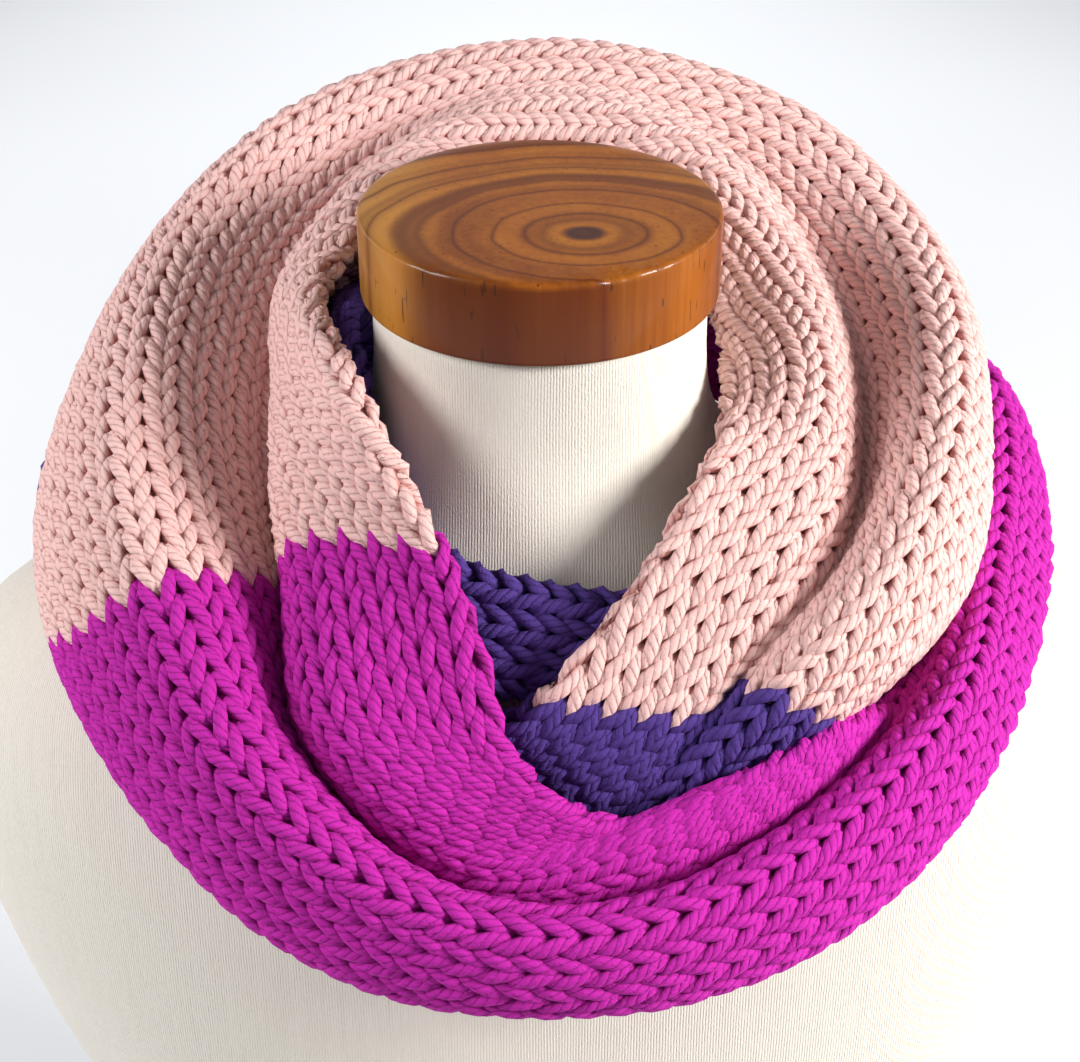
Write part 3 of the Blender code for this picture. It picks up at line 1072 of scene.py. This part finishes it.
    def build_rows(self, part: int) -> bpy.types.Object:
        """One part of the stretch's rows of yarn, each row going once round the tube.

        Args:
            part: which part, counted from 0.

        Returns:
            The piece.
        """
        tube, gauge = self.tube, self.gauge
        rows = np.array_split(np.arange(self.first_row, self.next_row), self.parts)[part]
        name = f"{self.name}_yarn_{part + 1}"
        bm = bmesh.new()
        store: list = []
        for row in rows:
            wide = float(np.interp(row + 0.5, tube.rows, tube.width))
            girth = float(np.interp(row + 0.5, tube.rows, tube.girth))
            past = gauge.past_fold
            for detail, begin, finish in (
                    (Detail.SEEN, -past, wide + past),
                    (Detail.TUCKED, wide + past - gauge.overlap, girth - past + gauge.overlap)):
                points, facing, on_leg = self.yarn_line(int(row), begin, finish, detail)
                self.add_yarn(bm, points, facing, on_leg, detail, store)
        places, uvs = (np.concatenate(kind) for kind in zip(*store))
        return new_object(name, bend_and_weld(bm, name, places, uvs), self.yarn)

    def build(self) -> list[bpy.types.Object]:
        """Build the stretch's wall and rows of yarn, and hide the model's own piece of it.

        Returns:
            All its pieces, the wall first.
        """
        wall = self.build_wall()
        yarns = [self.build_rows(part) for part in range(self.parts)]
        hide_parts(self.name)
        return [wall, *yarns]


@dataclass
class DressForm:
    """The limbless torso and neck under the scarf."""

    sides: int = 144
    rings: int = 150
    fine_steps: int = 400       # places that its profile is measured at

    def build(self, material: bpy.types.Material) -> bpy.types.Object:
        """Build the smooth form from the profile's widths and depths.

        Args:
            material: its jersey.

        Returns:
            The piece.
        """
        fine = np.linspace(-FORM_HEIGHT, FORM_PROFILE[-1][0], self.fine_steps)
        outward = np.diff(smooth_columns(FORM_PROFILE, fine)[:, 0])
        run = np.concatenate([[0.0], np.cumsum(np.hypot(np.diff(fine), outward))])
        climb = np.linspace(0.0, run[-1], self.rings)
        heights = np.interp(climb, run, fine)
        turn = np.linspace(-math.pi, math.pi, self.sides + 1)
        places, uvs = [], []
        for z, up, (width, front, back) in zip(heights, climb,
                                               smooth_columns(FORM_PROFILE, heights)):
            depth = np.where(np.cos(turn) > 0, front, back)
            radius = 1.0 / np.sqrt((np.sin(turn) / width) ** 2 + (np.cos(turn) / depth) ** 2)
            ring = np.stack([radius * np.sin(turn), -radius * np.cos(turn),
                             np.full_like(turn, z + FORM_HEIGHT)], axis=1)
            ring[-1] = ring[0]
            round_it = run_along(ring)
            places.append(ring * MM)
            uvs.append(np.stack([round_it - round_it[self.sides // 2],
                                 np.full_like(turn, up)], axis=1))
        mesh = grid_mesh("form_cover", np.stack(places), np.stack(uvs))
        bm = bmesh.new()
        bm.from_mesh(mesh)
        bmesh.ops.holes_fill(bm, edges=bm.edges, sides=self.sides + 1)
        bmesh.ops.recalc_face_normals(bm, faces=bm.faces)
        bm.to_mesh(mesh)
        bm.free()
        piece = new_object("form_cover", mesh, material)
        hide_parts("dress_form")
        return piece


@dataclass
class NeckCap:
    """The round wooden block on the neck, with its front rim a little knocked."""

    radius: float = 57.0
    thickness: float = 27.0
    rounding: float = 1.6
    sides: int = 240
    face_rings: int = 3
    ring_step: float = 4.0
    rim_width: float = 2.4      # how far in the wear on the rim reaches
    rim_depth: float = 2.2
    chip_pull: float = 0.012    # how far in a chip draws the rim, a share for each millimetre

    def build(self, material: bpy.types.Material) -> bpy.types.Object:
        """Turn the block, round its rims and wear its front edge.

        Args:
            material: its wood.

        Returns:
            The piece.
        """
        bm = bmesh.new()
        bmesh.ops.create_circle(bm, cap_ends=True, segments=self.sides, radius=self.radius * MM)
        raised = bmesh.ops.extrude_face_region(bm, geom=list(bm.faces), use_keep_orig=True)
        top = [g for g in raised["geom"] if isinstance(g, bmesh.types.BMVert)]
        bmesh.ops.translate(bm, verts=top, vec=Vector((0, 0, self.thickness * MM)))
        bmesh.ops.translate(bm, verts=bm.verts,
                            vec=Vector((0, 0, (FORM_HEIGHT - self.thickness) * MM)))
        bmesh.ops.recalc_face_normals(bm, faces=bm.faces)
        rims = [e for e in bm.edges
                if abs(e.verts[0].co.z - e.verts[1].co.z) < NUDGE and len(e.link_faces) == 2]
        bmesh.ops.bevel(bm, geom=rims, offset=self.rounding * MM, offset_type="OFFSET",
                        segments=4, profile=0.5, affect="EDGES", material=-1)
        for _ in range(self.face_rings):
            caps = [f for f in bm.faces if len(f.verts) == self.sides]
            bmesh.ops.inset_region(bm, faces=caps, thickness=self.ring_step * MM)
        self.wear_rim(bm)
        piece = new_object("neck_block", finished_mesh("neck_block", bm), material)
        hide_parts("neck_cap")
        return piece

    def wear_rim(self, bm: bmesh.types.BMesh) -> None:
        """Press small chips into the top rim at the front.

        Args:
            bm: the block's mesh, in place.
        """
        for vert in bm.verts:
            low = FORM_HEIGHT * MM - vert.co.z
            out = math.hypot(vert.co.x, vert.co.y)
            if low > self.rim_depth * MM or out < (self.radius - self.rim_width) * MM:
                continue
            turn = math.degrees(math.atan2(vert.co.x, -vert.co.y))
            chip = sum(depth * math.exp(-((turn - azimuth) / breadth) ** 2)
                       for azimuth, breadth, depth in RIM_CHIPS)
            vert.co.z -= chip * MM
            vert.co.x *= 1 - self.chip_pull * chip
            vert.co.y *= 1 - self.chip_pull * chip


@dataclass
class Studio:
    """Pale floor, soft lights and the camera."""

    lens_pixels: float = 1904.0
    frame_pixels: float = 1080.0
    distance: float = 600.0
    height_angle: float = 23.0
    pitch: float = 32.7
    sensor: float = 36.0
    floor_size: float = 6.0
    floor_lamp_height: float = 0.9
    target: tuple[float, float, float] = (0.0, 0.0, 0.5)
    warm: Colour = (1.0, 0.985, 0.96)
    cool: Colour = (0.98, 0.99, 1.0)
    sky: Colour = (0.93, 0.95, 1.0)
    sky_strength: float = 0.22

    def build_floor(self, material: bpy.types.Material) -> None:
        """Lay the floor that the form stands on.

        Args:
            material: its board.
        """
        bm = bmesh.new()
        bmesh.ops.create_grid(bm, x_segments=4, y_segments=4, size=self.floor_size)
        floor = link("floor", finished_mesh("floor", bm))
        floor.data.materials.append(material)

    def add_lamp(self, name: str, place: tuple, aim: tuple, size: float, power: float,
                 colour: tuple) -> None:
        """Hang one soft square lamp.

        Args:
            name: its name.
            place: where it hangs, in metres.
            aim: the point that it faces.
            size: its side, in metres.
            power: its power, in watts.
            colour: its colour.
        """
        light = bpy.data.lights.new(name, "AREA")
        light.shape = "SQUARE"
        light.size = size
        light.energy = power
        light.color = colour
        lamp = link(name, light)
        lamp.location = place
        lamp.rotation_euler = (Vector(aim) - Vector(place)).to_track_quat("-Z", "Y").to_euler()

    def build_lights(self) -> None:
        """Hang the lamps and set the even light round them."""
        world = bpy.data.worlds.new("studio")
        bpy.context.scene.world = world
        world.use_nodes = True
        sky = world.node_tree.nodes["Background"]
        sky.inputs["Color"].default_value = (*self.sky, 1.0)
        sky.inputs["Strength"].default_value = self.sky_strength
        self.add_lamp("key", (1.10, -0.42, 0.98), self.target, 0.4, 25.0, self.warm)
        self.add_lamp("fill", (-1.05, -0.32, 1.08), self.target, 0.5, 12.0, self.cool)
        for name, x, y, size, power in FLOOR_LAMPS:
            self.add_lamp(name, (x, y, self.floor_lamp_height), (x, y, 0.0), size, power,
                          self.cool)

    def build_camera(self) -> None:
        """Place the camera above and in front of the form."""
        camera = bpy.data.cameras.new("camera")
        camera.sensor_fit = "HORIZONTAL"
        camera.sensor_width = self.sensor
        camera.lens = self.lens_pixels / self.frame_pixels * self.sensor
        camera.clip_end = 50.0
        view = link("camera", camera)
        angle = math.radians(self.height_angle)
        view.location = (0.0, -self.distance * math.cos(angle) * MM,
                         (FORM_HEIGHT + self.distance * math.sin(angle)) * MM)
        view.rotation_euler = Euler((math.radians(90.0 - self.pitch), 0.0, 0.0))
        bpy.context.scene.camera = view


def main() -> None:
    """Build the form, the cap, the scarf's stretches and the studio, in that order."""
    logging.basicConfig(level=logging.INFO, format="%(message)s")
    bpy.context.scene.view_settings.view_transform = "Standard"
    DressForm().build(JerseyFinish().build())
    NeckCap().build(WoodFinish().build())
    tube = TubeMap(BandForm())
    gauge = YarnGauge()
    finishes = {}
    for colour, light, deep, sheen, shaded_lining in YARNS:
        finishes[colour] = (YarnFinish(colour + "_yarn", light, deep, sheen).build(),
                            LiningFinish(colour + "_wall", shaded_lining).build())
    for name, start, end, colour, flat, rests_on, parts in STRETCHES:
        KnitStretch(name, tube, gauge, start, end, *finishes[colour], colour + "_knit", flat,
                    rests_on, parts).build()
    studio = Studio()
    studio.build_floor(FloorFinish().build())
    studio.build_lights()
    studio.build_camera()


if __name__ == "__main__":
    main()
